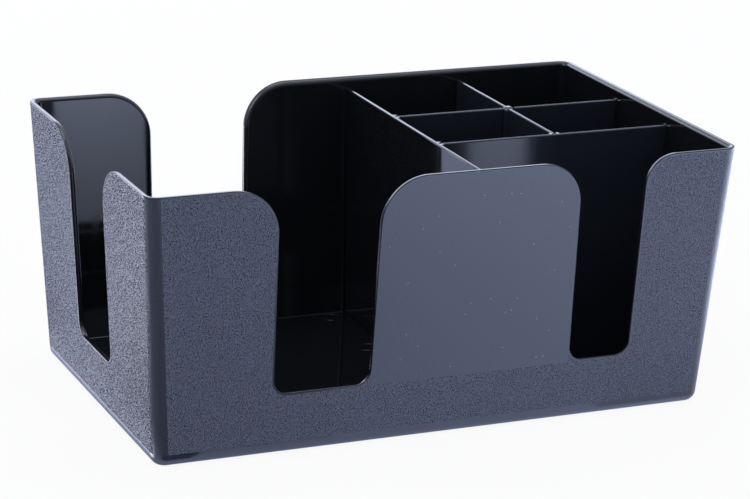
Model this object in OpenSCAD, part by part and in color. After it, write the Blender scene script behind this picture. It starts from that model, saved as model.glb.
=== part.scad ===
// Bar caddy: a moulded tub with notched walls and four lift-out divider plates.
// Units are millimetres. X runs right along the front, Y to the back and Z up.
// The origin is on the table, under the middle of the tub.

/* [Tub] */
// Width across the rim, along the front
tub_w = 241.3; // [225:0.1:280]
// Depth across the rim, front to back
tub_d = 147; // [137:0.5:172]
// Height of the rim above the table
tub_h = 106.2; // [95:0.1:125]
// How far each wall leans in between the rim and the table
draft = 6.5; // [2:0.1:8]
// Thickness of the walls
wall_t = 2.5; // [2:0.1:3.5]
// Thickness of the floor
floor_t = 3; // [2:0.1:3.5]
// Outside radius of the upright corners
corner_r = 5.25; // [4.75:0.25:10]
// Radius of the outside edge between the walls and the underside
base_r = 4; // [2:0.25:4.5]
// Radius of the inside edge between the walls and the floor
floor_r = 1.5; // [0.5:0.25:2]
// Depth of the hollow under the floor
recess_h = 2.3; // [1.5:0.1:4]
// Width of the flat ring that stands on the table
ring_w = 3.5; // [2.5:0.5:6]

/* [Notches] */
// Width of the three hand notches round the napkin bay, at the sill
notch_w = 38.6; // [30:0.2:46]
// How far left of the middle the front and back hand notches are centred
notch_x = 49.2; // [45:0.2:54]
// Height of every notch's sill above the table
sill_h = 24.7; // [15:0.1:40]
// How far each side of a notch leans out between the sill and the rim
notch_open = 1.1; // [0:0.1:2.5]
// Radius where a hand notch opens out at the rim
flare_r = 18.5; // [10:0.5:21]
// Radius in the lower corners of a notch
foot_r = 5.5; // [2:0.5:7]
// Width of the narrow notch in front of the front compartment, at the sill
slot_w = 25.6; // [20:0.2:31]
// How far right of the middle the narrow notch is centred
slot_x = 66.9; // [64:0.1:72]
// Radius where the narrow notch opens out beside the front tongue
tongue_flare_r = 17; // [8:0.5:20]
// Radius where the narrow notch opens out beside the right corner
slot_flare_r = 12.5; // [8:0.5:16]

/* [Dividers] */
// Thickness of the divider plates
plate_t = 1.6; // [1.4:0.1:3]
// How far the plates stop below the rim
plate_drop = 4.2; // [2.5:0.1:12]
// How far right of the middle the bay divider stands
bay_x = 16.8; // [5:0.2:25]
// How far in front of the middle the front divider stands
front_y = 20.8; // [15:0.2:25]
// How far behind the middle the middle divider stands
middle_y = 21.6; // [15:0.2:25]
// Diameter of the round knuckle where two plates cross
knuckle_d = 4.5; // [4:0.1:6]
// How far the knuckle stands above the plates
knuckle_rise = 0.5; // [0:0.1:1]

/* [Guides] */
// Width of one guide rib
rib_w = 1; // [0.8:0.1:2]
// How far a guide rib stands out
rib_h = 0.7; // [0.5:0.1:1.5]
// How far the tub's guide ribs run on above the plates
rib_rise = 0; // [0:0.1:2]
// Gap on each side of a plate in its guides or its lap
side_gap = 0.25; // [0.15:0.05:0.4]
// Gap between the end of a plate and the wall or plate that it faces
end_gap = 0.3; // [0.2:0.05:0.5]

/* [Hidden] */

plastic = "#23252d";
$fn = 64;
// Facets round the corners of the tapered shells
shell_fn = 32;
// Steps along each round of a notch
arc_steps = 16;
// Angle between the steps of a rounded lower edge
edge_step = 15;
// Thickness of the discs that span the tapered shells
skin = 0.01;
// How far a cutter runs past the faces it opens
over = 1;

floor_z = recess_h + floor_t;
plate_top = tub_h - plate_drop;
rib_top = plate_top + rib_rise;
// Chamfer at the top of a rib that leads the plate in
lead = 0.6 * rib_h;
// Ribs are rooted this deep in the part that carries them
root = min(wall_t, plate_t) / 2;
// Chamfer at a plate's lower corner, which clears the rounded edge of the floor
toe = floor_r + 0.5;
// Radius in the corners of the hollow under the floor
recess_r = 3;
// The cross divider halves the space right of the bay divider
cross_x = (bay_x + tub_w / 2 - wall_t) / 2;
// Height at which the two lapped plates meet
lap_z = (floor_z + plate_top) / 2;
// Distance of a rib's middle from the middle of the plate that it guides
rib_offset = plate_t / 2 + side_gap + rib_w / 2;
// Angle by which the sides of a notch lean out
notch_lean = atan(notch_open / (tub_h - sill_h));

// Inset of the walls at height z, and the half sizes of the tub there
function lean(z) = draft * (1 - z / tub_h);
function outer(size, z) = size / 2 - lean(z);
function inner(size, z) = outer(size, z) - wall_t;
function plate_end(size, z) = inner(size, z) - end_gap;
// Half width at height z of a notch that is this wide at the sill
function notch_half(width, z) = width / 2 + (z - sill_h) * tan(notch_lean);
// Distance from the middle of a notch to the middle of its flare of radius r
function flare_x(width, r) = notch_half(width, tub_h - r) + r / cos(notch_lean);
// Points on an arc of radius r about a middle, from one angle to another
function arc(middle, r, from, to) = [
    for (i = [0 : arc_steps])
        let (a = from + (to - from) * i / arc_steps) middle + r * [cos(a), sin(a)]
];

// Four discs at the corners of the tub's outline at height z, taken in by inset
module corner_discs(z, inset, r) {
    for (side = [-1, 1], end = [-1, 1])
        translate([side * (outer(tub_w, z) - inset - r), end * (outer(tub_d, z) - inset - r), z])
            cylinder(r = r, h = skin, $fn = shell_fn);
}

// Solid that leans with the walls from z0 to z1, with its lower edge rounded
module tapered_block(z0, z1, inset, r, edge) {
    hull() {
        for (a = [0 : edge_step : 90]) {
            taken_in = edge * (1 - sin(a));
            corner_discs(z0 + edge * (1 - cos(a)), inset + taken_in, r - taken_in);
        }
        corner_discs(z1 - skin, inset, r);
    }
}

// Outline of a notch about x = 0, open at the rim, with its own flare radius on each side
module notch_outline(width, left_flare, right_flare) {
    left_x = -flare_x(width, left_flare);
    right_x = flare_x(width, right_flare);
    foot_z = sill_h + foot_r;
    foot_x = notch_half(width, foot_z) - foot_r / cos(notch_lean);
    polygon(concat(
        [[left_x, tub_h + over]],
        arc([left_x, tub_h - left_flare], left_flare, 90, notch_lean),
        arc([-foot_x, foot_z], foot_r, 180 + notch_lean, 270),
        arc([foot_x, foot_z], foot_r, 270, 360 - notch_lean),
        arc([right_x, tub_h - right_flare], right_flare, 180 - notch_lean, 90),
        [[right_x, tub_h + over]]
    ));
}

// Cutter that takes a notch through the back wall of a tub of this size
module notch_cutter(size, width, left_flare, right_flare) {
    near = inner(size, sill_h) - over;
    translate([0, size / 2 + over, 0])
        rotate([90, 0, 0])
            linear_extrude(size / 2 + over - near)
                notch_outline(width, left_flare, right_flare);
}

// Pair of ribs on the inside of the back wall of a tub of this size, either side of x
module wall_guides(size, x) {
    low = floor_z - root;
    foot = inner(size, low);
    head = inner(size, rib_top);
    for (side = [-1, 1])
        translate([x + side * rib_offset, 0, 0])
            rotate([90, 0, 90])
                linear_extrude(rib_w, center = true)
                    polygon([
                        [foot + root, low],
                        [head + root, rib_top],
                        [head - rib_h + lead, rib_top],
                        [head - rib_h, rib_top - lead],
                        [foot - rib_h, low]
                    ]);
}

// Pair of upright ribs on a plate, standing out along +X from x = 0, either side of y = 0
module plate_guides() {
    for (side = [-1, 1])
        translate([-root, side * rib_offset - rib_w / 2, floor_z])
            cube([rib_h + root, rib_w, plate_top - floor_z]);
}

// Half of a plate's outline, from u = start out to the leaning wall of a tub of this size
module plate_outline(size, start) {
    polygon([
        [start, floor_z],
        [plate_end(size, floor_z) - toe, floor_z],
        [plate_end(size, floor_z + toe), floor_z + toe],
        [plate_end(size, plate_top), plate_top],
        [start, plate_top]
    ]);
}

// Plate in the XZ plane about y, from the bay divider to the right wall
module right_hand_plate(y) {
    translate([0, y, 0])
        rotate([90, 0, 0])
            linear_extrude(plate_t, center = true)
                plate_outline(tub_w, bay_x + plate_t / 2 + end_gap);
}

module tub() {
    color(plastic)
        difference() {
            union() {
                difference() {
                    tapered_block(0, tub_h, 0, corner_r, base_r);
                    tapered_block(floor_z, tub_h + over, wall_t, corner_r - wall_t, floor_r);
                    tapered_block(-over, recess_h, base_r + ring_w, recess_r, 0);
                }
                for (x = [bay_x, cross_x])
                    wall_guides(tub_d, x);
                rotate(180)
                    wall_guides(tub_d, -bay_x);
                for (y = [-front_y, middle_y])
                    rotate(-90)
                        wall_guides(tub_w, -y);
            }
            for (turn = [0, 180])
                rotate(turn)
                    translate([turn == 0 ? -notch_x : notch_x, 0, 0])
                        notch_cutter(tub_d, notch_w, flare_r, flare_r);
            rotate(90)
                notch_cutter(tub_w, notch_w, flare_r, flare_r);
            rotate(180)
                translate([-slot_x, 0, 0])
                    notch_cutter(tub_d, slot_w, slot_flare_r, tongue_flare_r);
        }
}

module bay_divider() {
    color(plastic)
        union() {
            translate([bay_x, 0, 0])
                rotate([90, 0, 90])
                    linear_extrude(plate_t, center = true)
                        union() {
                            plate_outline(tub_d, 0);
                            mirror([1, 0])
                                plate_outline(tub_d, 0);
                        }
            for (y = [-front_y, middle_y])
                translate([bay_x + plate_t / 2, y, 0])
                    plate_guides();
        }
}

module front_divider() {
    color(plastic)
        union() {
            right_hand_plate(-front_y);
            translate([cross_x, plate_t / 2 - front_y, 0])
                rotate(90)
                    plate_guides();
        }
}

module middle_divider() {
    lap_w = knuckle_d + 2 * side_gap;
    color(plastic)
        difference() {
            right_hand_plate(middle_y);
            translate([cross_x - lap_w / 2, middle_y - plate_t, lap_z])
                cube([lap_w, 2 * plate_t, plate_top]);
        }
}

module cross_divider() {
    lap_w = plate_t + 2 * side_gap;
    start = plate_t / 2 + end_gap - front_y;
    color(plastic)
        union() {
            translate([cross_x, 0, 0])
                rotate([90, 0, 90])
                    linear_extrude(plate_t, center = true)
                        difference() {
                            plate_outline(tub_d, start);
                            translate([middle_y - lap_w / 2, floor_z - over])
                                square([lap_w, lap_z + end_gap - floor_z + over]);
                        }
            translate([cross_x, middle_y, lap_z + end_gap])
                cylinder(d = knuckle_d, h = plate_top + knuckle_rise - lap_z - end_gap);
        }
}

tub();
bay_divider();
front_divider();
middle_divider();
cross_divider();
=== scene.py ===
"""Looks of the bar caddy: a moulded tub with notched walls and four lift-out divider plates.

Sizes are written in millimetres and turned to metres where a mesh is made. X runs right
along the front, Y to the back and Z up, from the table under the middle of the tub.
"""

import logging
import math
from dataclasses import dataclass, field, replace
from enum import Enum, IntEnum
from typing import Any, Iterable, Sequence

import bmesh
import bpy
from bpy.types import Material, NodeSocket, NodeTree, Object
from mathutils import Matrix, Vector


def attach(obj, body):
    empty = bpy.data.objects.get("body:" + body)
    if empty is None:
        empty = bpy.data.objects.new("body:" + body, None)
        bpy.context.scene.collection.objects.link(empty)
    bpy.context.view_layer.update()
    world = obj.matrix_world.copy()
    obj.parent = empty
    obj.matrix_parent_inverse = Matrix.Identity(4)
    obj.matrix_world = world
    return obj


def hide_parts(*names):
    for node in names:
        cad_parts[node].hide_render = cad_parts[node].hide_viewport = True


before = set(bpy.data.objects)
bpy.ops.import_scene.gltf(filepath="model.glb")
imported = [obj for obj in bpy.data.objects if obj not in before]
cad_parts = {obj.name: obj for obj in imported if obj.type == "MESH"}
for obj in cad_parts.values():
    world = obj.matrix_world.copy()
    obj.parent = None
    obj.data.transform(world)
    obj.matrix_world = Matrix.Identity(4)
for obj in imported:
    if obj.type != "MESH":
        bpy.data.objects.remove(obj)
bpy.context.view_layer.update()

log = logging.getLogger("bar_caddy")

MM = 0.001
UP = Vector((0.0, 0.0, 1.0))
WHITE = (1.0, 1.0, 1.0, 1.0)

Outputs = bpy.types.bpy_prop_collection
Pair = tuple[float, float]
Triple = tuple[float, float, float]


def linear(colour: str) -> tuple[float, float, float, float]:
    """Turns an sRGB colour, written as #rrggbb, into the linear one that a shader takes."""
    levels = [int(colour[i : i + 2], 16) / 255 for i in (1, 3, 5)]
    return (*(v / 12.92 if v <= 0.04045 else ((v + 0.055) / 1.055) ** 2.4 for v in levels), 1.0)


def per_metre(size_mm: float) -> float:
    """Gives the texture scale whose features are size_mm apart on Object coordinates."""
    return 1.0 / (size_mm * MM)


def clamped(value: float) -> float:
    """Keeps a value between nought and one."""
    return min(max(value, 0.0), 1.0)


def quarter_round(radius: float, steps: int) -> list[Pair]:
    """Follows a quarter of a circle: what is left of the radius one way, and what is gone the other."""
    turns = [math.radians(90 * step / steps) for step in range(steps + 1)]
    return [(radius * (1 - math.sin(a)), radius * (1 - math.cos(a))) for a in turns]


def link(name: str, data: bpy.types.ID) -> Object:
    """Puts a mesh, light or camera into the scene.

    Args:
        name: Name of the object.
        data: What the object shows.

    Returns:
        The new object.
    """
    thing = bpy.data.objects.new(name, data)
    bpy.context.scene.collection.objects.link(thing)
    return thing


def add_node(
    tree: NodeTree, kind: str, inputs: dict[str | int, Any] | None = None, **settings: Any
) -> Outputs:
    """Adds one node with its settings and with what feeds its inputs.

    Args:
        tree: Node tree that takes the node.
        kind: Blender's type name of the node.
        inputs: Plain value or other node's output for each input, by name or number.
        **settings: Values of the node's own properties.

    Returns:
        The new node's outputs.
    """
    node = tree.nodes.new(kind)
    for name, value in settings.items():
        setattr(node, name, value)
    for key, value in (inputs or {}).items():
        if isinstance(value, NodeSocket):
            tree.links.new(value, node.inputs[key])
        else:
            node.inputs[key].default_value = value
    return node.outputs


def empty_material(name: str) -> tuple[Material, NodeTree]:
    """Makes a material whose node tree is still bare.

    Args:
        name: Name of the material.

    Returns:
        The material and its node tree.
    """
    material = bpy.data.materials.new(name)
    material.use_nodes = True
    material.node_tree.nodes.clear()
    return material, material.node_tree


class Skin(IntEnum):
    """Finishes of the tub, in the order of its material slots."""

    GRAIN = 0
    SATIN = 1
    GLOSS = 2
    EDGE = 3
    SIDE_GRAIN = 4
    CORNER_GRAIN = 5


@dataclass(frozen=True)
class Finish:
    """Black ABS as one kind of mould surface leaves it, drawn on Object coordinates.

    What is constant stands on the shader's own sockets, where an export finds it.
    """

    name: str
    roughness: float
    ior: float
    shine_level: float

    def looks(self, tree: NodeTree, place: NodeSocket) -> dict[str, Any]:
        """Draws what sets the finish apart.

        Args:
            tree: Node tree of the material.
            place: Object coordinates.

        Returns:
            What feeds the shader's inputs, by name.
        """
        raise NotImplementedError

    def material(self) -> Material:
        """Builds the material.

        Returns:
            The plastic in this finish.
        """
        material, tree = empty_material(self.name)
        place = add_node(tree, "ShaderNodeTexCoord")["Object"]
        looks = {"IOR": self.ior, "Specular IOR Level": self.shine_level} | self.looks(tree, place)
        shader = add_node(tree, "ShaderNodeBsdfPrincipled", looks)["BSDF"]
        add_node(tree, "ShaderNodeOutputMaterial", {"Surface": shader})
        return material


@dataclass(frozen=True)
class GrainedAbs(Finish):
    """Black ABS moulded against an etched tool: a fine leather grain that breaks up every reflection.

    Small pale crests over near-black valleys make the walls look slate grey instead of black. The crests'
    pale colour is partly the grain's own tone and partly a painted highlight, and the valleys' dark
    colour is painted shade. Seen at a slant the crests catch much more light, so a side wall turns
    pale and speckled.
    """

    name: str = "abs_moulded_leather_grain"
    roughness: float = 0.36
    ior: float = 1.74
    shine_level: float = 0.72
    valley_roughness: float = 1.0
    # Paints shade into the valleys by fading their reflection to nothing
    shade_painted_in_valleys: bool = False
    # Crest colour: partly the grain's tone, partly a painted highlight. Valley colour: painted shade
    lit_crest: str = "#505e82"
    shaded_valley: str = "#020304"
    veil: str = "#d3daf0"
    veil_weight: float = 0.6
    veil_roughness: float = 0.5
    # Drawn about a pixel of the photo wide, because a finer real grain would vanish there
    grain_mm: float = 0.44
    side_stretch: float = 0.4
    depth_mm: float = 0.28
    crest_span: Pair = (0.15, 0.75)
    least: float = 0.5
    least_and_most: float = 1.7

    def for_sides(self) -> "GrainedAbs":
        """Gives the grain of the side walls, deeper, with painted shade in its valleys, which reflect
        nothing, so that it shows at a slant.

        Returns:
            The finish of the left and right walls.
        """
        return replace(
            # The crest colour is partly a painted highlight, and the valley colour is painted shade
            self, name=f"{self.name}_sides", lit_crest="#3a455f", shaded_valley="#262d3c", valley_roughness=0.9,
            shine_level=1.0, shade_painted_in_valleys=True, veil_weight=0.1, grain_mm=0.42, depth_mm=0.45, least=0.25,
        )

    def for_corners(self) -> "GrainedAbs":
        """Gives the grain of the upright corners, where it is almost smooth and mirrors a dark line,
        a painted reflection of a black sheet on the floor.

        Returns:
            The finish of the corners.
        """
        return replace(
            # The crest colour is partly a painted highlight, and the valley colour is painted shade
            self, name=f"{self.name}_corners", lit_crest="#313a51", shaded_valley="#10141c", depth_mm=0.05,
            shine_level=0.74, valley_roughness=0.42,
        )

    def looks(self, tree: NodeTree, place: NodeSocket) -> dict[str, Any]:
        """Draws the grain, which colour, roughness and relief follow.

        Args:
            tree: Node tree of the material.
            place: Object coordinates.

        Returns:
            What feeds the shader's inputs, by name.
        """
        ways = add_node(tree, "ShaderNodeSeparateXYZ", {0: place})
        across, deep = (
            add_node(tree, "ShaderNodeMath", {0: ways[way]}, operation="ABSOLUTE")[0] for way in "XY"
        )
        # This runs on round the corners, and draws the grain longer on the sides
        run = {0: deep, 1: -self.side_stretch, 2: across}
        round_tub = add_node(tree, "ShaderNodeMath", run, operation="MULTIPLY_ADD")[0]
        flat = add_node(tree, "ShaderNodeCombineXYZ", {"X": round_tub, "Y": ways["Z"]})[0]
        cells = add_node(
            tree, "ShaderNodeTexVoronoi", {"Vector": flat, "Scale": per_metre(self.grain_mm)},
            feature="F1", voronoi_dimensions="2D",
        )
        near, far = self.crest_span
        crests = add_node(
            tree, "ShaderNodeMapRange",
            {"Value": cells["Distance"], "From Min": near, "From Max": far, "To Min": 1.0, "To Max": 0.0},
            interpolation_type="SMOOTHSTEP",
        )["Result"]
        most = self.least_and_most - self.least
        spread = {"Value": cells["Color"], "To Min": self.least, "To Max": most}
        uneven = add_node(tree, "ShaderNodeMapRange", spread)["Result"]
        height = add_node(tree, "ShaderNodeMath", {0: crests, 1: uneven}, operation="MULTIPLY")[0]
        # Painted highlight on the crests and painted shade in the valleys, over the grain's own tone
        colours = {0: height, 6: linear(self.shaded_valley), 7: linear(self.lit_crest)}
        dullness = {"Value": height, "To Min": self.valley_roughness, "To Max": self.roughness}
        relief = {"Height": height, "Distance": self.depth_mm * MM, "Strength": 1.0}
        looks = {
            "Base Color": add_node(tree, "ShaderNodeMix", colours, data_type="RGBA")[2],
            "Roughness": add_node(tree, "ShaderNodeMapRange", dullness)["Result"],
            "Sheen Weight": self.veil_weight,
            "Sheen Roughness": self.veil_roughness,
            "Sheen Tint": linear(self.veil),
            "Normal": add_node(tree, "ShaderNodeBump", relief)["Normal"],
        }
        if self.shade_painted_in_valleys:
            # Painted shade: the reflection fades to nothing in the valleys. An export may drop this link,
            # which leaves the sides a little more even
            painted_valley_shade = {"Value": height, "To Min": 0.0, "To Max": self.shine_level}
            looks["Specular IOR Level"] = add_node(tree, "ShaderNodeMapRange", painted_valley_shade)["Result"]
        return looks


@dataclass(frozen=True)
class SatinAbs(Finish):
    """Black ABS moulded against a stoned tool: an even soft sheen with a few specks of dust.

    The panel between the front notches, the foot and a thin band below the rim have it. It
    shows faint flow marks and a thin scatter of pale dust, each speck half a millimetre.
    """

    name: str = "abs_moulded_satin"
    roughness: float = 0.28
    ior: float = 1.68
    shine_level: float = 1.0
    # Slate rather than the inside's near black: partly the finish's own tone, partly painted reflection of
    # the pale room
    colour: str = "#2b3548"
    dust: str = "#a9b0c2"
    flow_mm: float = 22.0
    flow_detail: float = 2.0
    flow_depth_mm: float = 0.02
    flow_dulls: float = 0.05
    dust_spacing_mm: float = 5.0
    dust_slant: float = 0.7
    dust_mm: float = 0.5
    dust_core: float = 0.4
    dust_bar: float = 0.76

    def for_edges(self) -> "SatinAbs":
        """Gives the darker, dustless finish of the rim's round edges, which draw thin lines.

        Returns:
            The finish of the edges.
        """
        return replace(
            self, name="abs_moulded_smooth_edge", colour="#101117", dust="#101117", roughness=0.2,
            ior=1.53, shine_level=0.75,
        )

    def looks(self, tree: NodeTree, place: NodeSocket) -> dict[str, Any]:
        """Draws the flow marks and the dust.

        Args:
            tree: Node tree of the material.
            place: Object coordinates.

        Returns:
            What feeds the shader's inputs, by name.
        """
        ways = add_node(tree, "ShaderNodeSeparateXYZ", {0: place})
        lean = {0: ways["Y"], 1: self.dust_slant, 2: ways["Z"]}
        slant = add_node(tree, "ShaderNodeMath", lean, operation="MULTIPLY_ADD")[0]
        flat = add_node(tree, "ShaderNodeCombineXYZ", {"X": ways["X"], "Y": slant})[0]
        cells = add_node(
            tree, "ShaderNodeTexVoronoi", {"Vector": flat, "Scale": per_metre(self.dust_spacing_mm)},
            feature="F1", voronoi_dimensions="2D",
        )
        reach = self.dust_mm / self.dust_spacing_mm / 2
        core = self.dust_core * reach
        speck = add_node(
            tree, "ShaderNodeMapRange",
            {"Value": cells["Distance"], "From Min": core, "From Max": reach, "To Min": 1.0, "To Max": 0.0},
            interpolation_type="SMOOTHSTEP",
        )["Result"]
        # Only the cells above the bar hold a speck
        bar = {0: cells["Color"], 1: self.dust_bar}
        chosen = add_node(tree, "ShaderNodeMath", bar, operation="GREATER_THAN")[0]
        dusty = add_node(tree, "ShaderNodeMath", {0: speck, 1: chosen}, operation="MULTIPLY")[0]
        marks = {"Vector": place, "Scale": per_metre(self.flow_mm), "Detail": self.flow_detail}
        flow = add_node(tree, "ShaderNodeTexNoise", marks)["Fac"]
        smooth, dull = self.roughness - self.flow_dulls, self.roughness + self.flow_dulls
        dullness = {"Value": flow, "To Min": smooth, "To Max": dull}
        colours = {0: dusty, 6: linear(self.colour), 7: linear(self.dust)}
        relief = {"Height": flow, "Distance": self.flow_depth_mm * MM, "Strength": 1.0}
        return {
            "Base Color": add_node(tree, "ShaderNodeMix", colours, data_type="RGBA")[2],
            "Roughness": add_node(tree, "ShaderNodeMapRange", dullness)["Result"],
            "Normal": add_node(tree, "ShaderNodeBump", relief)["Normal"],
        }


@dataclass(frozen=True)
class PolishedAbs(Finish):
    """Black ABS moulded against a polished core: near black, with clear, slightly wavy reflections.

    The inside of the tub and the plates have it. Fine rub marks dull the reflections in
    streaks, and the sink of the plastic bends them over a few centimetres.
    """

    name: str = "abs_moulded_polished"
    roughness: float = 0.04
    ior: float = 1.6
    shine_level: float = 0.85
    colour: str = "#131518"
    sink_mm: float = 30.0
    sink_detail: float = 1.0
    sink_depth_mm: float = 0.03
    rub_mm: float = 3.0
    rub_detail: float = 3.0
    rub_scale: Triple = (1.0, 1.0, 0.12)
    rub_span: Pair = (0.35, 0.75)
    rub_dulls: float = 0.04

    def for_plates(self) -> "PolishedAbs":
        """Gives the softer finish of the small plates, which blurs what they mirror, in a slightly paler
        colour:
        painted light that lifts the shaded cells between them.
        """
        return replace(self, name="abs_moulded_polished_plate", colour="#1f232b", roughness=0.15)

    def looks(self, tree: NodeTree, place: NodeSocket) -> dict[str, Any]:
        """Draws the sink of the plastic and the upright rub marks.

        Args:
            tree: Node tree of the material.
            place: Object coordinates.

        Returns:
            What feeds the shader's inputs, by name.
        """
        waves = {"Vector": place, "Scale": per_metre(self.sink_mm), "Detail": self.sink_detail}
        sink = add_node(tree, "ShaderNodeTexNoise", waves)["Fac"]
        upright = add_node(tree, "ShaderNodeMapping", {"Vector": place, "Scale": self.rub_scale})["Vector"]
        streaks = {"Vector": upright, "Scale": per_metre(self.rub_mm), "Detail": self.rub_detail}
        rub = add_node(tree, "ShaderNodeTexNoise", streaks)["Fac"]
        low, high = self.rub_span
        dull = self.roughness + self.rub_dulls
        dullness = {"From Min": low, "From Max": high, "To Min": self.roughness, "To Max": dull}
        relief = {"Height": sink, "Distance": self.sink_depth_mm * MM, "Strength": 1.0}
        return {
            "Base Color": linear(self.colour),
            "Roughness": add_node(tree, "ShaderNodeMapRange", {"Value": rub} | dullness)["Result"],
            "Normal": add_node(tree, "ShaderNodeBump", relief)["Normal"],
        }


@dataclass
class MeshDraft:
    """Points and faces of one piece, gathered in millimetres before its mesh is made."""

    points: list[Vector] = field(default_factory=list)
    faces: list[tuple[int, ...]] = field(default_factory=list)
    skins: list[int] = field(default_factory=list)

    def add_row(self, places: Iterable[Vector]) -> list[int]:
        """Adds points and gives their numbers.

        Args:
            places: Points in millimetres.

        Returns:
            The numbers of the new points, in the same order.
        """
        first = len(self.points)
        self.points.extend(places)
        return list(range(first, len(self.points)))

    def add_face(self, corners: Sequence[int], skin: int = 0) -> None:
        """Adds a face with its finish."""
        self.faces.append(tuple(corners))
        self.skins.append(int(skin))

    def bridge(self, *rows: Sequence[int], skin: int | Sequence[int] = 0) -> None:
        """Joins closed rows of equal length, each to the next, with rings of faces.

        Args:
            *rows: Rows of point numbers.
            skin: Finish of all faces, or of each face of a ring.
        """
        for row, following in zip(rows, rows[1:]):
            skins = [skin] * len(row) if isinstance(skin, int) else skin
            for i, finish in enumerate(skins):
                j = (i + 1) % len(row)
                self.add_face((row[i], row[j], following[j], following[i]), finish)

    def to_object(self, name: str, materials: Sequence[Material]) -> Object:
        """Makes the piece, in metres, with its faces turned outwards.

        Args:
            name: Name of the piece.
            materials: Materials in the order of the finishes.

        Returns:
            The new object, linked to the scene.
        """
        mesh = bpy.data.meshes.new(name)
        mesh.from_pydata([p * MM for p in self.points], [], self.faces)
        mesh.polygons.foreach_set("material_index", self.skins)
        for material in materials:
            mesh.materials.append(material)
        shell = bmesh.new()
        shell.from_mesh(mesh)
        bmesh.ops.recalc_face_normals(shell, faces=shell.faces)
        shell.to_mesh(mesh)
        shell.free()
        return link(name, mesh)


def apply_modifiers(piece: Object) -> None:
    """Turns a piece and its modifiers into one plain mesh.

    Args:
        piece: Object that keeps the mesh and loses its modifiers.
    """
    depsgraph = bpy.context.evaluated_depsgraph_get()
    mesh = bpy.data.meshes.new_from_object(
        piece.evaluated_get(depsgraph), preserve_all_data_layers=True, depsgraph=depsgraph
    )
    piece.modifiers.clear()
    spent, piece.data = piece.data, mesh
    bpy.data.meshes.remove(spent)
    mesh.name = piece.name


def settle(piece: Object, smooth_below: float = 40.0) -> Object:
    """Turns a piece into one plain mesh with clean shading.

    Args:
        piece: Object to settle.
        smooth_below: Edges that bend less than this, in degrees, look round.

    Returns:
        The same object, without modifiers.
    """
    apply_modifiers(piece)
    piece.data.shade_smooth()
    piece.data.set_sharp_from_angle(angle=math.radians(smooth_below))
    piece.modifiers.new("even normals", "WEIGHTED_NORMAL").keep_sharp = True
    apply_modifiers(piece)
    return piece


class Wall(Enum):
    """Sides of the tub, in the order in which the rim runs round it."""

    FRONT = 0
    RIGHT = 1
    BACK = 2
    LEFT = 3

    def axes(self) -> tuple[Vector, Vector]:
        """Gives the direction along the wall and the direction out of it."""
        turn = Matrix.Rotation(math.radians(90 * self.value), 3, "Z")
        return turn @ Vector((1, 0, 0)), turn @ Vector((0, -1, 0))

    def following(self) -> "Wall":
        """Gives the wall past the next corner."""
        return Wall((self.value + 1) % 4)


@dataclass(frozen=True)
class Station:
    """One place on the rim, in the plane of its wall or, with a turn, round its next corner."""

    wall: Wall
    along: float
    height: float
    normal: Pair = (0.0, 1.0)
    turn: float | None = None

    def on(self, *walls: Wall) -> bool:
        """Tells whether the place is on the flat of one of the walls."""
        return self.turn is None and self.wall in walls

    def taken_in(self, depth: float) -> "Station":
        """Gives the station moved into the wall, away from the edge, by depth."""
        away, down = (depth * n for n in self.normal)
        return replace(self, along=self.along - away, height=self.height - down)


@dataclass(frozen=True)
class Notch:
    """An opening in a wall: flared at the rim, a little narrower below and rounded at its foot."""

    wall: Wall
    centre: float
    width: float
    flares: Pair
    sill: float = 24.7
    opening: float = 1.1
    foot: float = 5.5
    flare_steps: int = 16
    foot_steps: int = 8

    def tilt(self, rim: float) -> float:
        """Gives the angle, in radians, by which the sides lean out up to the rim."""
        return math.atan(self.opening / (rim - self.sill))

    def half(self, height: float, rim: float) -> float:
        """Gives the distance of a side's line from the notch's middle at a height."""
        return self.width / 2 + (height - self.sill) * math.tan(self.tilt(rim))

    def outline(self, rim: float) -> list[Station]:
        """Follows the notch from the rim down, over the sill and up again.

        Args:
            rim: Height of the rim.

        Returns:
            The stations in the direction of the wall.
        """
        tilt = self.tilt(rim)
        lean = math.degrees(tilt)
        first, last = self.flares
        near, far = (self.half(rim - r, rim) + r / math.cos(tilt) for r in self.flares)
        level = self.sill + self.foot
        low = self.half(level, rim) - self.foot / math.cos(tilt)
        arcs = [
            (-near, rim - first, first, 90, lean, 1, self.flare_steps),
            (-low, level, self.foot, 180 + lean, 270, -1, self.foot_steps),
            (low, level, self.foot, 270, 360 - lean, -1, self.foot_steps),
            (far, rim - last, last, 180 - lean, 90, 1, self.flare_steps),
        ]
        stations = []
        for along, height, radius, start, end, side, steps in arcs:
            for step in range(steps + 1):
                angle = math.radians(start + (end - start) * step / steps)
                x, z = math.cos(angle), math.sin(angle)
                place = (self.centre + along + radius * x, height + radius * z)
                stations.append(Station(self.wall, *place, (side * x, side * z)))
        return stations


@dataclass(frozen=True)
class Upright:
    """Where a guide rib or a mark stands: its foot on what carries it, and its turn."""

    foot: Triple
    turn: float


def start_tree(name: str, sizes: Sequence[str], counts: Sequence[str] = ()) -> NodeTree:
    """Starts a geometry node tree that sets one thing on every point.

    Args:
        name: Name of the tree.
        sizes: Names of the inputs that take lengths and angles.
        counts: Names of the inputs that take whole numbers.

    Returns:
        The node tree, still without nodes.
    """
    tree = bpy.data.node_groups.new(name, "GeometryNodeTree")
    kinds = {"Points": "Geometry"} | dict.fromkeys(sizes, "Float") | dict.fromkeys(counts, "Int")
    for socket, kind in (kinds | {"Plastic": "Material"}).items():
        tree.interface.new_socket(socket, in_out="INPUT", socket_type=f"NodeSocket{kind}")
    tree.interface.new_socket("Pieces", in_out="OUTPUT", socket_type="NodeSocketGeometry")
    return tree


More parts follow.
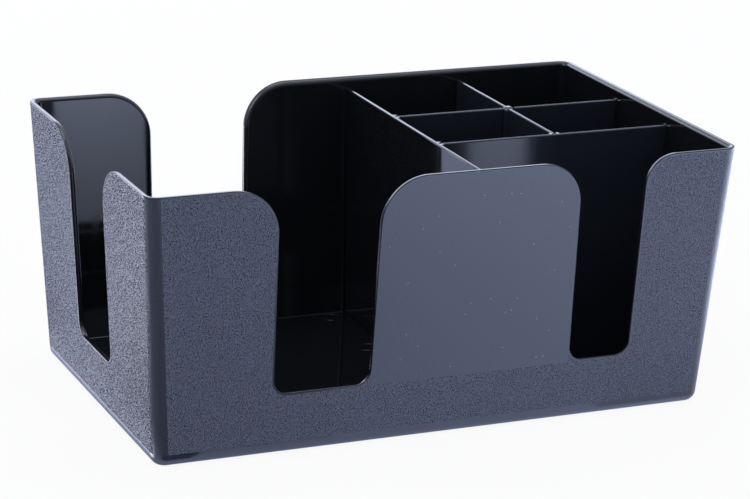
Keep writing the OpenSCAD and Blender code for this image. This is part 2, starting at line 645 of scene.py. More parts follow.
def end_tree(tree: NodeTree, given: Outputs, setting: dict[str | int, Any]) -> None:
    """Ends a tree from start_tree: sets the thing on the points, makes it real and dresses it.

    Args:
        tree: Node tree to end.
        given: The tree's inputs.
        setting: What stands on the points, and how it is turned.
    """
    things = add_node(tree, "GeometryNodeInstanceOnPoints", {"Points": given["Points"]} | setting)[0]
    real = add_node(tree, "GeometryNodeRealizeInstances", {"Geometry": things})["Geometry"]
    dressed = {"Geometry": real, "Material": given["Plastic"]}
    add_node(tree, "NodeGroupOutput", {"Pieces": add_node(tree, "GeometryNodeSetMaterial", dressed)[0]})


def set_on_feet(name: str, tree: NodeTree, feet: Sequence[Upright], values: dict[str, Any]) -> Object:
    """Runs a node tree on a set of feet and settles the result.

    Args:
        name: Name of the piece.
        tree: Node tree whose first input takes the feet.
        feet: Points with their turns.
        values: Value of each named input of the tree.

    Returns:
        The piece as one plain mesh.
    """
    mesh = bpy.data.meshes.new(name)
    mesh.from_pydata([Vector(f.foot) * MM for f in feet], [], [])
    turns = mesh.attributes.new("turn", "FLOAT", "POINT")
    turns.data.foreach_set("value", [f.turn for f in feet])
    piece = link(name, mesh)
    maker = piece.modifiers.new(tree.name, "NODES")
    maker.node_group = tree
    for item in tree.interface.items_tree:
        if item.in_out == "INPUT" and item.name in values:
            maker[item.identifier] = values[item.name]
    return settle(piece)


@dataclass(frozen=True)
class GuideRibs:
    """Upright ribs in pairs that hold a plate's end, all from one node tree.

    A rib has rounded edges, is rooted in the part that carries it, and narrows at its top
    to lead the plate in.
    """

    width: float = 1.0
    stand: float = 0.7
    root: float = 0.8
    lead: float = 0.42
    edge: float = 0.25
    edge_steps: int = 3
    taper: float = 0.9
    offset: float = 1.55

    def pair(self, middle: float) -> Pair:
        """Gives the places of the two ribs either side of a plate's middle."""
        return middle - self.offset, middle + self.offset

    def path(self, tree: NodeTree, given: Outputs) -> NodeSocket:
        """Draws the upright line of a rib, narrower at its top.

        Args:
            tree: Node tree that takes the nodes.
            given: The tree's inputs.

        Returns:
            The line as a curve of three points: foot, start of the lead-in and top.
        """
        # The points' numbers 0, 1 and 2 are told apart half way between them
        number = add_node(tree, "GeometryNodeInputIndex")[0]
        past_foot, at_top = (
            add_node(tree, "ShaderNodeMath", {0: number, 1: i + 0.5}, operation="GREATER_THAN")[0]
            for i in range(2)
        )
        parts = {0: given["Height"], 1: given["Lead"]}
        straight = add_node(tree, "ShaderNodeMath", parts, operation="SUBTRACT")[0]
        run = add_node(tree, "ShaderNodeMath", {0: past_foot, 1: straight}, operation="MULTIPLY")[0]
        rise = {0: at_top, 1: given["Lead"], 2: run}
        level = add_node(tree, "ShaderNodeMath", rise, operation="MULTIPLY_ADD")[0]
        line = add_node(tree, "GeometryNodeMeshLine", {"Count": 3})["Mesh"]
        spaced = {"Geometry": line, "Position": add_node(tree, "ShaderNodeCombineXYZ", {"Z": level})[0]}
        posts = add_node(tree, "GeometryNodeSetPosition", spaced)["Geometry"]
        curve = add_node(tree, "GeometryNodeMeshToCurve", {"Mesh": posts})["Curve"]
        narrowing = {0: at_top, 1: -self.taper, 2: 1.0}
        narrowed = add_node(tree, "ShaderNodeMath", narrowing, operation="MULTIPLY_ADD")[0]
        slope = {0: given["Lead"], 1: given["Stand"]}
        least = add_node(tree, "ShaderNodeMath", slope, operation="DIVIDE")[0]
        radius = add_node(tree, "ShaderNodeMath", {0: narrowed, 1: least}, operation="MAXIMUM")[0]
        return add_node(tree, "GeometryNodeSetCurveRadius", {"Curve": curve, "Radius": radius})["Curve"]

    def section(self, tree: NodeTree, given: Outputs) -> NodeSocket:
        """Draws the rounded section of a rib, which reaches into what carries it by its root.

        Args:
            tree: Node tree that takes the nodes.
            given: The tree's inputs.

        Returns:
            The section as a closed curve.
        """
        both = {0: given["Root"], 1: given["Stand"]}
        thick, ahead = (
            add_node(tree, "ShaderNodeMath", both, operation=name)[0] for name in ("ADD", "SUBTRACT")
        )
        sides = {"Width": given["Width"], "Height": thick}
        box = add_node(tree, "GeometryNodeCurvePrimitiveQuadrilateral", sides)["Curve"]
        rounding = {"Curve": box, "Count": self.edge_steps, "Radius": given["Edge"]}
        rounded = add_node(tree, "GeometryNodeFilletCurve", rounding, mode="POLY")["Curve"]
        half = add_node(tree, "ShaderNodeMath", {0: ahead, 1: 0.5}, operation="MULTIPLY")[0]
        moved = {"Geometry": rounded, "Translation": add_node(tree, "ShaderNodeCombineXYZ", {"Y": half})[0]}
        return add_node(tree, "GeometryNodeTransform", moved)["Geometry"]

    def tree(self) -> NodeTree:
        """Builds the node tree that sweeps one rib and sets it on every point.

        Returns:
            The node tree, with a named input for each size.
        """
        tree = start_tree("guide_ribs", ("Width", "Stand", "Root", "Lead", "Edge", "Height", "Lean"))
        given = add_node(tree, "NodeGroupInput")
        curves = {"Curve": self.path(tree, given), "Profile Curve": self.section(tree, given)}
        rib = add_node(tree, "GeometryNodeCurveToMesh", curves | {"Fill Caps": True})["Mesh"]
        turn = add_node(tree, "GeometryNodeInputNamedAttribute", {"Name": "turn"}, data_type="FLOAT")
        tilt = add_node(tree, "ShaderNodeMath", {0: given["Lean"], 1: -1.0}, operation="MULTIPLY")[0]
        facing = add_node(tree, "ShaderNodeCombineXYZ", {"X": tilt, "Z": turn["Attribute"]})[0]
        end_tree(tree, given, {"Instance": rib, "Rotation": facing})
        return tree

    def build(
        self, name: str, feet: Sequence[Upright], height: float, lean: float, plastic: Material
    ) -> Object:
        """Sets ribs on their feet.

        Args:
            name: Name of the piece.
            feet: Where each rib stands.
            height: Length of a rib.
            lean: Angle by which the ribs lean out with the wall, in radians.
            plastic: Material of the ribs.

        Returns:
            The ribs as one plain mesh.
        """
        sizes = {
            "Width": self.width, "Stand": self.stand, "Root": self.root,
            "Lead": self.lead, "Edge": self.edge, "Height": height,
        }
        values = {key: size * MM for key, size in sizes.items()} | {"Lean": lean, "Plastic": plastic}
        return set_on_feet(name, self.tree(), feet, values)


@dataclass(frozen=True)
class EjectorMarks:
    """Thin raised rings that the ejector pins of the mould leave on the floor."""

    diameter: float = 8.0
    line: float = 0.5
    rise: float = 0.07
    rounds: int = 48
    bead_rounds: int = 10

    def tree(self) -> NodeTree:
        """Builds the node tree that sweeps one ring and sets it on every point.

        Returns:
            The node tree, with a named input for each size.
        """
        tree = start_tree("ejector_marks", ("Radius", "Line", "Rise"), ("Rounds",))
        given = add_node(tree, "NodeGroupInput")
        rounds = ((given["Rounds"], given["Radius"]), (self.bead_rounds, 1.0))
        path, bead = (
            add_node(tree, "GeometryNodeCurvePrimitiveCircle", {"Resolution": n, "Radius": r})["Curve"]
            for n, r in rounds
        )
        size = add_node(tree, "ShaderNodeCombineXYZ", {"X": given["Line"], "Y": given["Rise"], "Z": 1.0})[0]
        section = add_node(tree, "GeometryNodeTransform", {"Geometry": bead, "Scale": size})["Geometry"]
        ring = add_node(tree, "GeometryNodeCurveToMesh", {"Curve": path, "Profile Curve": section})["Mesh"]
        end_tree(tree, given, {"Instance": ring})
        return tree

    def build(self, name: str, places: Sequence[Upright], plastic: Material) -> Object:
        """Sets a ring on each place.

        Args:
            name: Name of the piece.
            places: Middles of the rings, on the floor.
            plastic: Material of the rings.

        Returns:
            The rings as one plain mesh.
        """
        sizes = {"Radius": self.diameter / 2 * MM, "Line": self.line / 2 * MM, "Rise": self.rise * MM}
        values = sizes | {"Rounds": self.rounds, "Plastic": plastic}
        return set_on_feet(name, self.tree(), places, values)


@dataclass
class Tub:
    """The moulded tub: leaning walls with four notches, a floor, and a hollow underneath."""

    width: float = 241.3
    depth: float = 147.0
    height: float = 106.2
    draft: float = 6.5
    wall: float = 2.5
    floor: float = 5.3
    corner_radius: float = 5.25
    base_radius: float = 4.0
    floor_radius: float = 0.25
    recess: float = 2.3
    ring: float = 3.5
    recess_radius: float = 3.0
    outer_edge: float = 0.35
    inner_edge: float = 1.5
    back_edge: float = 2.1
    back_edge_reach: float = 30.0
    bare_edge: float = 0.8
    bare_foot: float = 5.2
    bare_panel: float = 23.9
    rib_top: float = 102.0
    rib_sunk: float = 0.6
    drawn_in: float = 1.0
    drawn_reach: float = 42.0
    corner_slope: float = 2.5
    corner_steps: int = 12
    edge_steps: int = 4
    notches: tuple[Notch, ...] = (
        Notch(Wall.FRONT, -49.2, 38.6, (18.5, 18.5)),
        Notch(Wall.FRONT, 66.9, 25.6, (17.0, 12.5)),
        Notch(Wall.BACK, 49.2, 38.6, (18.5, 18.5)),
        Notch(Wall.LEFT, 0.0, 38.6, (18.5, 18.5)),
    )
    marks: tuple[Pair, ...] = ((8.0, 59.5), (8.0, 20.0), (8.0, -20.0), (8.0, -59.5))

    def half(self, wall: Wall, height: float) -> float:
        """Gives the distance of a wall's outside from the middle at a height."""
        size = self.depth if wall in (Wall.FRONT, Wall.BACK) else self.width
        return size / 2 - self.draft * (1 - height / self.height)

    def cuts(self, wall: Wall) -> list[Notch]:
        """Gives the notches of a wall in the direction of the rim."""
        return sorted((n for n in self.notches if n.wall is wall), key=lambda n: n.centre)

    def warp(self, station: Station, height: float) -> float:
        """Gives how far the back wall has drawn in beside its notch as the plastic cooled.

        Args:
            station: Place round the tub.
            height: Height of the point.

        Returns:
            The distance in millimetres, most at the free edges near the rim.
        """
        if not station.on(Wall.BACK):
            return 0.0
        (notch,) = self.cuts(Wall.BACK)
        aside = abs(station.along - notch.centre) - notch.width / 2
        rise = max(height - notch.sill, 0.0) / (self.height - notch.sill)
        return self.drawn_in * (1 - clamped(aside / self.drawn_reach)) ** 2 * rise

    def place(self, station: Station, height: float, inset: float, radius: float) -> Vector:
        """Finds a point of the shell.

        Args:
            station: Place round the tub.
            height: Height of the point.
            inset: Distance inside the outer face of the wall.
            radius: Corner radius of the outline that the point is on.

        Returns:
            The point in millimetres.
        """
        along, out = station.wall.axes()
        reach = self.half(station.wall, height) - inset - self.warp(station, height)
        if station.turn is None:
            return along * station.along + out * reach + UP * height
        side = self.half(station.wall.following(), height) - inset
        return (
            along * (side - radius + radius * math.sin(station.turn))
            + out * (reach - radius + radius * math.cos(station.turn))
            + UP * height
        )

    def rim(self) -> list[Station]:
        """Follows the rim once round the tub, through the notches and round the corners.

        Returns:
            The stations, from the left end of the front wall.
        """
        stations = []
        for wall in Wall:
            for notch in self.cuts(wall):
                stations += notch.outline(self.height)
            for step in range(self.corner_steps + 1):
                turn = math.radians(90 * step / self.corner_steps)
                stations.append(Station(wall, 0.0, self.height, turn=turn))
        return stations

    def edge_radius(self, station: Station) -> float:
        """Gives the radius of the rim's inner edge, which is fuller on the back wall right of its notch.

        Args:
            station: Place on the rim.

        Returns:
            The radius in millimetres.
        """
        (notch,) = self.cuts(Wall.BACK)
        if not station.on(Wall.BACK) or station.along > notch.centre:
            return self.inner_edge
        reach = min(station.height - notch.sill, self.width / 2 + station.along)
        return self.inner_edge + (self.back_edge - self.inner_edge) * clamped(reach / self.back_edge_reach)

    def rim_section(self, inner: float) -> list[Pair]:
        """Describes the rim's rounded edge from the outer face over to the inner one.

        Args:
            inner: Radius of the inner edge.

        Returns:
            Depth below the edge and distance inside the outer face, row by row.
        """
        over = [(gone, self.wall - left) for left, gone in quarter_round(inner, self.edge_steps)]
        return [(self.bare_edge, 0.0), *quarter_round(self.outer_edge, self.edge_steps), *over]

    def on_panel(self, station: Station) -> bool:
        """Tells whether a place is on the bare panel between the two front notches."""
        start, end = (n.centre + s * n.width / 2 for n, s in zip(self.cuts(Wall.FRONT), (1, -1)))
        return station.on(Wall.FRONT) and start < station.along < end

    def shell(self, skins: Sequence[Material]) -> Object:
        """Builds the whole shell as one closed mesh.

        Args:
            skins: Materials in the order of Skin.

        Returns:
            The tub.
        """
        draft = MeshDraft()
        rim = self.rim()
        rows = []
        for section in zip(*(self.rim_section(self.edge_radius(s)) for s in rim)):
            moved = [s.taken_in(depth) for s, (depth, _) in zip(rim, section)]
            places = [
                self.place(s, s.height, inset, self.corner_radius - inset)
                for s, (_, inset) in zip(moved, section)
            ]
            rows.append((moved, draft.add_row(places)))
        (moved, row), (_, following) = rows[:2]
        sides = [s.on(Wall.LEFT, Wall.RIGHT) for s in moved]
        draft.bridge(row, following, skin=[Skin.SIDE_GRAIN if side else Skin.SATIN for side in sides])
        draft.bridge(*(row for _, row in rows[1:]), skin=Skin.EDGE)
        self.outside(draft, *rows[0])
        self.inside(draft, *rows[-1])
        return settle(draft.to_object("tub", skins))

    def loop(
        self, draft: MeshDraft, stations: Sequence[Station], height: float, inset: float, radius: float
    ) -> list[int]:
        """Adds one level loop, with its inset and corner radius, round the tub below the stations."""
        return draft.add_row(self.place(s, height, inset, radius) for s in stations)

    def outside(self, draft: MeshDraft, stations: Sequence[Station], rim: Sequence[int]) -> None:
        """Builds the walls' outer faces, the rounded foot, the standing ring and the hollow.

        Args:
            draft: Mesh that takes the faces.
            stations: Places along the lower line of the rim's bare edge.
            rim: Numbers of the points on that line.
        """
        foot = self.loop(draft, stations, self.bare_foot, 0.0, self.corner_radius)
        level = self.loop(draft, stations, self.bare_panel, 0.0, self.corner_radius)
        bare = [self.on_panel(s) for s in stations]
        for i in range(len(stations)):
            j = (i + 1) % len(stations)
            run = draft.points[foot[j]] - draft.points[foot[i]]
            grain = Skin.SIDE_GRAIN if abs(run.y) > abs(run.x) else Skin.GRAIN
            rounded = stations[i].turn is not None and stations[j].turn
            # The facets of a corner next to a side wall keep that wall's grain
            if rounded and abs(run.y) < self.corner_slope * abs(run.x):
                grain = Skin.CORNER_GRAIN
            if bare[i] and bare[j]:
                draft.add_face((foot[i], foot[j], level[j], level[i]), grain)
                draft.add_face((level[i], level[j], rim[j], rim[i]), Skin.SATIN)
            else:
                start = [level[i]] if bare[i] else []
                end = [level[j]] if bare[j] else []
                draft.add_face((foot[i], foot[j], *end, rim[j], rim[i], *start), grain)
        rounding = reversed(quarter_round(self.base_radius, 2 * self.edge_steps))
        levels = [(height, inset, self.corner_radius - inset) for inset, height in rounding]
        hollow = self.base_radius + self.ring
        levels += [(height, hollow, self.recess_radius) for height in (0.0, self.recess)]
        last = foot
        for sizes in levels:
            low = self.loop(draft, stations, *sizes)
            draft.bridge(low, last, skin=Skin.SATIN)
            last = low
        draft.add_face(last[::-1], Skin.SATIN)

    def inside(self, draft: MeshDraft, stations: Sequence[Station], rim: Sequence[int]) -> None:
        """Builds the walls' inner faces and the floor.

        Args:
            draft: Mesh that takes the faces.
            stations: Places along the inner line of the rim.
            rim: Numbers of the points on that line.
        """
        radius = self.corner_radius - self.wall
        rows = [rim]
        for left, gone in quarter_round(self.floor_radius, self.edge_steps):
            rows.append(self.loop(draft, stations, self.floor + left, self.wall + gone, radius - gone))
        draft.bridge(*rows, skin=Skin.GLOSS)
        draft.add_face(rows[-1], Skin.GLOSS)

    def rib_feet(self, ribs: GuideRibs, plan: "DividerPlan") -> list[Upright]:
        """Finds where the tub's guide ribs stand.

        Args:
            ribs: Sizes of the ribs.
            plan: Places of the plates.

        Returns:
            A foot for each rib on the inside of the back, front and right walls.
        """
        level = self.floor - self.rib_sunk
        deep = self.half(Wall.BACK, level) - self.wall
        wide = self.half(Wall.RIGHT, level) - self.wall
        back = [x for middle in (plan.bay_x, plan.cross_x) for x in ribs.pair(middle)]
        right = [y for middle in (plan.front_y, plan.middle_y) for y in ribs.pair(middle)]
        return (
            [Upright((x, deep, level), 0.0) for x in back]
            + [Upright((x, -deep, level), math.pi) for x in ribs.pair(plan.bay_x)]
            + [Upright((wide, y, level), -math.pi / 2) for y in right]
        )

    def build(self, skins: Sequence[Material], plan: "DividerPlan") -> list[Object]:
        """Makes the tub's pieces and lets them ride on its body.

        Args:
            skins: Materials in the order of Skin.
            plan: Places of the plates.

        Returns:
            The shell, its guide ribs and its ejector marks.
        """
        shell = self.shell(skins)
        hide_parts("tub")
        ribs = GuideRibs()
        height = self.rib_top - self.floor + self.rib_sunk
        lean = math.atan(self.draft / self.height)
        gloss = skins[Skin.GLOSS]
        guides = ribs.build("tub_guides", self.rib_feet(ribs, plan), height, lean, gloss)
        spots = [Upright((x, y, self.floor), 0.0) for x, y in self.marks]
        marks = EjectorMarks().build("tub_ejector_marks", spots, gloss)
        pieces = [shell, guides, marks]
        for piece in pieces:
            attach(piece, "tub")
        return pieces


@dataclass(frozen=True)
class DividerPlan:
    """Where the plates stand in the tub, and the sizes that they share."""

    bay_x: float = 16.8
    front_y: float = -20.8
    middle_y: float = 21.6
    cross_x: float = 67.475
    thickness: float = 1.6
    top: float = 102.0
    toe: float = 2.0
    side_gap: float = 0.25
    end_gap: float = 0.3
    knuckle: float = 4.5


class Plane(Enum):
    """The upright plane that a plate lies in."""

    FRONT_TO_BACK = "along y"
    LEFT_TO_RIGHT = "along x"

    def place(self, u: float, side: float, height: float) -> Vector:
        """Gives the point at u along the plate, side across it, and height."""
        return Vector((u, side, height) if self is Plane.LEFT_TO_RIGHT else (side, u, height))


@dataclass
class DividerPlate:
    """A flat plate with softly rounded edges that drops into the tub."""

    name: str
    plane: Plane
    middle: float
    tub: Tub
    plan: DividerPlan
    edge: float = 0.78
    edge_steps: int = 6

    def reach(self, height: float) -> float:
        """Gives how far from the tub's middle the plate's outer end is at a height."""
        wall = Wall.BACK if self.plane is Plane.FRONT_TO_BACK else Wall.RIGHT
        return self.tub.half(wall, height) - self.tub.wall - self.plan.end_gap

    def past_face(self, middle: float) -> float:
        """Gives where a plate begins that stands with a gap against one with this middle."""
        return middle + self.plan.thickness / 2 + self.plan.end_gap

    def lap(self) -> float:
        """Gives the height at which two lapped plates meet."""
        return (self.tub.floor + self.plan.top) / 2

    def outer_end(self) -> list[Pair]:
        """Gives the outline of the outer end, from the cut-off toe up."""
        floor, toe, top = self.tub.floor, self.plan.toe, self.plan.top
        return [(self.reach(floor) - toe, floor), *((self.reach(z), z) for z in (floor + toe, top))]

    def outline(self) -> list[Pair]:
        """Gives the plate's outline as points along it and up, against the clock."""
        mirrored = [(-u, z) for u, z in reversed(self.outer_end())]
        return [*self.outer_end(), *mirrored]

    def taken_in(self, outline: Sequence[Pair], depth: float) -> list[Pair]:
        """Moves every side of an outline inwards.

        Args:
            outline: Points against the clock.
            depth: Distance to move the sides.

        Returns:
            The smaller outline, point for point.
        """
        moved = []
        for i, here in enumerate(outline):
            before, after = outline[i - 1], outline[(i + 1) % len(outline)]
            ways = []
            for start, end in ((before, here), (here, after)):
                run = Vector((end[0] - start[0], end[1] - start[1])).normalized()
                ways.append(Vector((-run.y, run.x)))
            share = depth / (1 + ways[0].dot(ways[1]))
            step = (ways[0] + ways[1]) * share
            moved.append((here[0] + step.x, here[1] + step.y))
        return moved

    def plate(self) -> MeshDraft:
        """Builds the plate's closed shell.

        Returns:
            The points and faces of the plate.
        """
        draft = MeshDraft()
        outline = self.outline()
        half = self.plan.thickness / 2
        section = [(left, half - gone) for left, gone in quarter_round(self.edge, self.edge_steps)]
        rows = []
        for depth, side in [*section, *((d, -s) for d, s in reversed(section))]:
            level = self.taken_in(outline, depth)
            rows.append(draft.add_row(self.plane.place(u, self.middle + side, z) for u, z in level))
        draft.bridge(*rows)
        draft.add_face(rows[0])
        draft.add_face(rows[-1][::-1])
        return draft

    def guided(self) -> tuple[float, ...]:
        """Gives where along this plate others end in its guides, which is nowhere for most."""
        return ()

    def rib_feet(self, ribs: GuideRibs) -> list[Upright]:
        """Finds the feet of the rib pairs on the plate's right or rear face.

        Args:
            ribs: Sizes of the ribs.

        Returns:
            A foot for each rib.
        """
        face = self.middle + self.plan.thickness / 2
        turn = math.pi / 2 if self.plane is Plane.FRONT_TO_BACK else math.pi
        places = [u for middle in self.guided() for u in ribs.pair(middle)]
        return [Upright(tuple(self.plane.place(u, face, self.tub.floor)), turn) for u in places]

    def build(self, plastic: Material) -> list[Object]:
        """Makes the plate's pieces and lets them ride on its body.

        Args:
            plastic: Material of the plate.

        Returns:
            The plate, and its guide ribs where it has any.
        """
        plate = settle(self.plate().to_object(self.name, [plastic]))
        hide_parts(self.name)
        pieces = [plate]
        ribs = GuideRibs()
        feet = self.rib_feet(ribs)
        if feet:
            height = self.plan.top - self.tub.floor
            pieces.append(ribs.build(f"{self.name}_guides", feet, height, 0.0, plastic))
        for piece in pieces:
            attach(piece, self.name)
        return pieces


class BayDivider(DividerPlate):
    """The plate right of the napkin bay, with guides for the two plates that meet it."""

    def guided(self) -> tuple[float, ...]:
        """Gives where the front and middle dividers end."""
        return self.plan.front_y, self.plan.middle_y


class RightHandPlate(DividerPlate):
    """A plate from the bay divider to the right wall."""

    def outline(self) -> list[Pair]:
        """Gives the outline from the bay divider to the right wall."""
        start = self.past_face(self.plan.bay_x)
        return [(start, self.tub.floor), *self.outer_end(), (start, self.plan.top)]


class FrontDivider(RightHandPlate):
    """The plate behind the front compartment, with guides for the cross divider's end."""

    def guided(self) -> tuple[float, ...]:
        """Gives where the cross divider ends."""
        return (self.plan.cross_x,)


class MiddleDivider(RightHandPlate):
    """The plate between the four rear cells, slotted from the top for the cross divider."""

    def outline(self) -> list[Pair]:
        """Draws the plate with the slot open at the top.

        Returns:
            The outline as points along the plate and up.
        """
        half = self.plan.knuckle / 2 + self.plan.side_gap
        near, far = self.plan.cross_x - half, self.plan.cross_x + half
        lap, top = self.lap(), self.plan.top
        *whole, last = super().outline()
        return [*whole, (far, top), (far, lap), (near, lap), (near, top), last]


@dataclass
class CrossDivider(DividerPlate):
    """The short plate across the middle divider, slotted from below, with a round knuckle."""

    knuckle_rise: float = 0.5
    knuckle_edge: float = 1.6
    rounds: int = 40

    def lap(self) -> float:
        """Gives the height above which the plate is whole."""
        return super().lap() + self.plan.end_gap

    def outline(self) -> list[Pair]:
        """Draws the plate with the slot open at the bottom.

        Returns:
            The outline as points along the plate and up.
        """
        start = self.past_face(self.plan.front_y)
        half = self.plan.thickness / 2 + self.plan.side_gap
        near, far = self.plan.middle_y - half, self.plan.middle_y + half
        lap, floor = self.lap(), self.tub.floor
        slot = [(near, floor), (near, lap), (far, lap), (far, floor)]
        return [(start, floor), *slot, *self.outer_end(), (start, self.plan.top)]

    def plate(self) -> MeshDraft:
        """Builds the plate with the knuckle round its crossing.

        Returns:
            The points and faces of both.
        """
        draft = super().plate()
        radius, top = self.plan.knuckle / 2, self.plan.top + self.knuckle_rise
        crown = quarter_round(self.knuckle_edge, self.edge_steps)
        section = [(radius, self.lap()), *((radius - gone, top - left) for left, gone in crown)]
        middle = Vector((self.middle, self.plan.middle_y, 0.0))
        turns = [2 * math.pi * i / self.rounds for i in range(self.rounds)]
        rows = [
            draft.add_row(middle + Vector((r * math.cos(t), r * math.sin(t), level)) for t in turns)
            for r, level in section
        ]
        draft.bridge(*rows)
        draft.add_face(rows[0][::-1])
        draft.add_face(rows[-1])
        return draft


@dataclass(frozen=True)
class SoftBox:
    """A rectangular studio light, given by the brightness of its face."""

    name: str
    place: Triple
    size: Pair
    brightness: float
    colour: str
    aim: Triple = (0.0, 0.0, 0.05)

    def build(self) -> None:
        """Makes the light and turns it to its aim."""
        lamp = bpy.data.lights.new(self.name, "AREA")
        lamp.shape = "RECTANGLE"
        lamp.size, lamp.size_y = self.size
        lamp.energy = self.brightness * math.pi * self.size[0] * self.size[1]
        lamp.color = linear(self.colour)[:3]
        light = link(self.name, lamp)
        light.location = self.place
        light.rotation_mode = "QUATERNION"
        light.rotation_quaternion = (Vector(self.aim) - Vector(self.place)).to_track_quat("-Z", "Y")


def lay_sheet(name: str, corners: Sequence[Pair], height: float, material: Material) -> Object:
    """Lays a level sheet into the scene.

    Args:
        name: Name of the sheet.
        corners: Its outline, in metres.
        height: Its height above the table.
        material: What it is made of.

    Returns:
        The sheet.
    """
    mesh = bpy.data.meshes.new(name)
    mesh.from_pydata([(x, y, height) for x, y in corners], [], [tuple(range(len(corners)))])
    mesh.materials.append(material)
    return link(name, mesh)


@dataclass(frozen=True)
class Card:
    """A sheet on the floor that only reflections see and that paints them: black for a painted dark
    reflection, or glowing, though it is no lamp, for a painted pale one.
    """

    name: str
    outline: tuple[Pair, ...]
    brightness: float
    colour: str = "#dae4ff"
    lift: float = 0.001

    def build(self) -> None:
        """Makes the card and hides it from the camera, from diffuse light and from shadows."""
        material, tree = empty_material(self.name)
        light = {"Color": linear(self.colour), "Strength": self.brightness}
        glow = add_node(tree, "ShaderNodeEmission", light)[0]
        add_node(tree, "ShaderNodeOutputMaterial", {"Surface": glow})
        card = lay_sheet(self.name, self.outline, self.lift, material)
        # Only reflections see it, so what it shows there is painted reflection
        card.visible_camera = card.visible_diffuse = card.visible_shadow = False


def sector(corner: Pair, reach: Pair, turns: Pair, steps: int = 12) -> tuple[Pair, ...]:
    """Gives the outline of a sector on the floor round a corner.

    Args:
        corner: Point that the sector is about.
        reach: Inner and outer distance from it.
        turns: First and last direction, in degrees.
        steps: Number of sides of its outer edge.

    Returns:
        The points in order.
    """
    first, last = (math.radians(t) for t in turns)
    rays = [(reach[0], last), (reach[0], first)]
    rays += [(reach[1], first + (last - first) * i / steps) for i in range(steps + 1)]
    return tuple((corner[0] + r * math.cos(t), corner[1] + r * math.sin(t)) for r, t in rays)


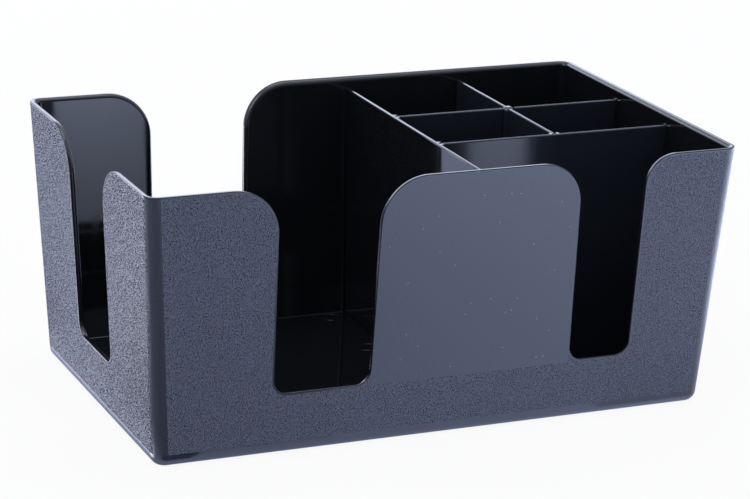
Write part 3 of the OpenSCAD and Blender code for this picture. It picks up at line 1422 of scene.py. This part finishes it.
@dataclass
class Studio:
    """A pale floor, soft light from the left, from above and from behind, and the camera.

    Sizes are in metres. The floor is cool and graded in reflections, and the room is darker in
    front. Cards on the floor, seen only in reflections, paint them: the dark line down the front
    corner and the pale right edge are painted reflections, and so are the shade at the front's foot,
    the lift of the left wall and the tint of what is mirrored from behind.
    """

    eye: Triple = (-0.43586, -0.98457, 0.39282)
    right: Triple = (0.91787, -0.39545, 0.03360)
    above: Triple = (0.08939, 0.28848, 0.95330)
    lens_mm: float = 136.24
    sensor_mm: float = 36.0
    clip: Pair = (0.01, 50.0)
    floor_half: float = 4.0
    floor_drop: float = 0.0002
    floor_colour: str = "#f6f6f7"
    floor_glow: float = 0.92
    mirror_glow: float = 0.8
    shade_middle: Triple = (-0.13, -0.2, 0.0)
    shade_reach: float = 0.55
    shade_range: Pair = (0.27, 1.88)
    fill: float = 0.7
    fill_colour: str = "#f1f4ff"
    mirror_colour: str = "#cbd9ff"
    room_colour: str = "#dfe7ff"
    dark_front: Pair = (-0.9, -0.45)
    dark_level: float = 0.15
    cards: tuple[Card, ...] = (
        Card("painted_dark_reflection", sector((-0.116, -0.069), (0.012, 0.8), (130.0, 288.0)), 0.0),
        Card(
            "left_foot_shade",
            ((-0.114, -0.075), (-0.04, -0.075), (0.01, -0.21), (-0.075, -0.21)), 0.0,
        ),
        Card(
            "right_foot_shade",
            ((0.07, -0.0685), (0.17, -0.0685), (0.19, -0.095), (0.075, -0.095)), 0.5,
        ),
        Card(
            "left_painted_reflection",
            ((-0.159, -0.009), (-0.62, 0.6), (-0.38, 0.6), (-0.149, 0.085)), 9.5, "#ecefff",
        ),
        Card(
            "corner_foot_shade",
            ((-0.116, -0.0685), (-0.1, -0.0685), (-0.092, -0.075), (-0.114, -0.075)), 0.0,
        ),
        Card(
            "left_foot_painted_reflection",
            ((-0.118, -0.064), (-0.124, -0.056), (-0.124, 0.085), (-0.118, 0.085)), 6.8, "#ecefff",
        ),
        Card("rear_painted_reflection", ((-0.13, 0.09), (0.15, 0.09), (0.15, 0.6), (-0.37, 0.6)), 1.05, "#cbd8ff"),
        Card("right_painted_reflection", ((0.2, -0.1), (0.6, -0.1), (0.6, 0.3), (0.2, 0.3)), 5.0),
    )
    lights: tuple[SoftBox, ...] = (
        SoftBox("key_left", (-1.3, -0.5, 1.3), (1.0, 1.0), 1.6, "#eef2ff"),
        SoftBox("top", (0.2, 0.3, 1.8), (1.2, 1.2), 1.2, "#f2f5ff"),
        SoftBox("rear", (0.05, 1.6, 0.65), (1.9, 0.6), 2.4, "#e2eaff"),
    )

    def camera(self) -> None:
        """Makes the scene's camera at the photograph's viewpoint."""
        data = bpy.data.cameras.new("camera")
        data.sensor_width, data.lens = self.sensor_mm, self.lens_mm
        data.clip_start, data.clip_end = self.clip
        camera = link("camera", data)
        right, above = Vector(self.right), Vector(self.above)
        turn = Matrix((right, above, right.cross(above))).transposed().to_4x4()
        camera.matrix_world = Matrix.Translation(self.eye) @ turn
        bpy.context.scene.camera = camera

    def floor(self) -> None:
        """Makes the floor, white to the eye but for the object's soft shadow."""
        material, tree = empty_material("studio_floor")
        path = add_node(tree, "ShaderNodeLightPath")
        mirrored = path["Is Glossy Ray"]
        rays = {0: path["Is Camera Ray"], 1: path["Is Transmission Ray"]}
        seen = add_node(tree, "ShaderNodeMath", rays, operation="MAXIMUM")[0]
        plain = add_node(tree, "ShaderNodeMath", {0: seen, 1: self.floor_glow}, operation="MULTIPLY")[0]
        parts = {0: mirrored, 1: self.mirror_glow, 2: plain}
        share = add_node(tree, "ShaderNodeMath", parts, operation="MULTIPLY_ADD", use_clamp=True)[0]
        # Reflections see the floor tinted cool and graded, darker near the front left and brighter away
        # from it: painted reflection with painted shade
        place = add_node(tree, "ShaderNodeNewGeometry")["Position"]
        way = {0: place, 1: self.shade_middle}
        away = add_node(tree, "ShaderNodeVectorMath", way, operation="DISTANCE")["Value"]
        near, far = self.shade_range
        grade = {"Value": away, "From Max": self.shade_reach, "To Min": near, "To Max": far}
        shade = add_node(tree, "ShaderNodeMapRange", grade)["Result"]
        colours = {0: seen, 6: linear(self.mirror_colour), 7: WHITE}
        strength = {0: mirrored, 1: shade, 2: seen}
        light = {
            "Color": add_node(tree, "ShaderNodeMix", colours, data_type="RGBA")[2],
            "Strength": add_node(tree, "ShaderNodeMath", strength, operation="MULTIPLY_ADD")[0],
        }
        glow = add_node(tree, "ShaderNodeEmission", light)[0]
        paper = add_node(tree, "ShaderNodeBsdfDiffuse", {"Color": linear(self.floor_colour)})[0]
        both = add_node(tree, "ShaderNodeMixShader", {0: share, 1: paper, 2: glow})[0]
        add_node(tree, "ShaderNodeOutputMaterial", {"Surface": both})
        side = self.floor_half
        corners = ((-side, -side), (side, -side), (side, side), (-side, side))
        floor = lay_sheet("floor", corners, -self.floor_drop, material)

    def world(self) -> None:
        """Lights the room evenly, and shows it white, but cool and darker in front to reflections."""
        world = bpy.data.worlds.new("studio")
        world.use_nodes = True
        tree = world.node_tree
        tree.nodes.clear()
        path = add_node(tree, "ShaderNodeLightPath")
        camera, mirrored = path["Is Camera Ray"], path["Is Glossy Ray"]
        way = add_node(tree, "ShaderNodeTexCoord")["Generated"]
        back = add_node(tree, "ShaderNodeSeparateXYZ", {0: way})["Y"]
        dark, lit = self.dark_front
        level = add_node(
            tree, "ShaderNodeMapRange",
            {"Value": back, "From Min": dark, "From Max": lit, "To Min": self.dark_level, "To Max": 1.0},
            interpolation_type="SMOOTHSTEP",
        )["Result"]
        pairs = ((camera, mirrored), (level, camera))
        seen, bright = (
            add_node(tree, "ShaderNodeMath", {0: one, 1: other}, operation="MAXIMUM")[0]
            for one, other in pairs
        )
        rays = {0: seen, 1: path["Is Transmission Ray"]}
        shown = add_node(tree, "ShaderNodeMath", rays, operation="MAXIMUM")[0]
        colours = {0: mirrored, 6: WHITE, 7: linear(self.room_colour)}
        tint = add_node(tree, "ShaderNodeMix", colours, data_type="RGBA")[2]
        lights = ((linear(self.fill_colour), self.fill), (tint, bright))
        fill, room = (
            add_node(tree, "ShaderNodeBackground", {"Color": colour, "Strength": strength})[0]
            for colour, strength in lights
        )
        both = add_node(tree, "ShaderNodeMixShader", {0: shown, 1: fill, 2: room})[0]
        add_node(tree, "ShaderNodeOutputWorld", {"Surface": both})
        bpy.context.scene.world = world

    def build(self) -> None:
        """Sets up the camera, the floor, the cards, the room's light and the soft boxes."""
        self.camera()
        self.floor()
        for card in self.cards:
            card.build()
        self.world()
        for light in self.lights:
            light.build()
        bpy.context.scene.view_settings.view_transform = "Standard"


def main() -> None:
    """Builds the studio, the tub and the plates."""
    logging.basicConfig(level=logging.INFO, format="%(name)s: %(message)s")
    Studio().build()
    grain, satin, polished = GrainedAbs(), SatinAbs(), PolishedAbs()
    finishes: dict[Skin, Finish] = {
        Skin.GRAIN: grain,
        Skin.SATIN: satin,
        Skin.GLOSS: polished,
        Skin.EDGE: satin.for_edges(),
        Skin.SIDE_GRAIN: grain.for_sides(),
        Skin.CORNER_GRAIN: grain.for_corners(),
    }
    skins = [finishes[skin].material() for skin in Skin]
    soft = polished.for_plates().material()
    plan = DividerPlan()
    tub = Tub()
    plates: list[tuple[DividerPlate, Material]] = [
        (BayDivider("bay_divider", Plane.FRONT_TO_BACK, plan.bay_x, tub, plan), skins[Skin.GLOSS]),
        (FrontDivider("front_divider", Plane.LEFT_TO_RIGHT, plan.front_y, tub, plan), soft),
        (MiddleDivider("middle_divider", Plane.LEFT_TO_RIGHT, plan.middle_y, tub, plan), soft),
        (CrossDivider("cross_divider", Plane.FRONT_TO_BACK, plan.cross_x, tub, plan), soft),
    ]
    pieces = tub.build(skins, plan)
    for plate, plastic in plates:
        pieces += plate.build(plastic)


if __name__ == "__main__":
    main()
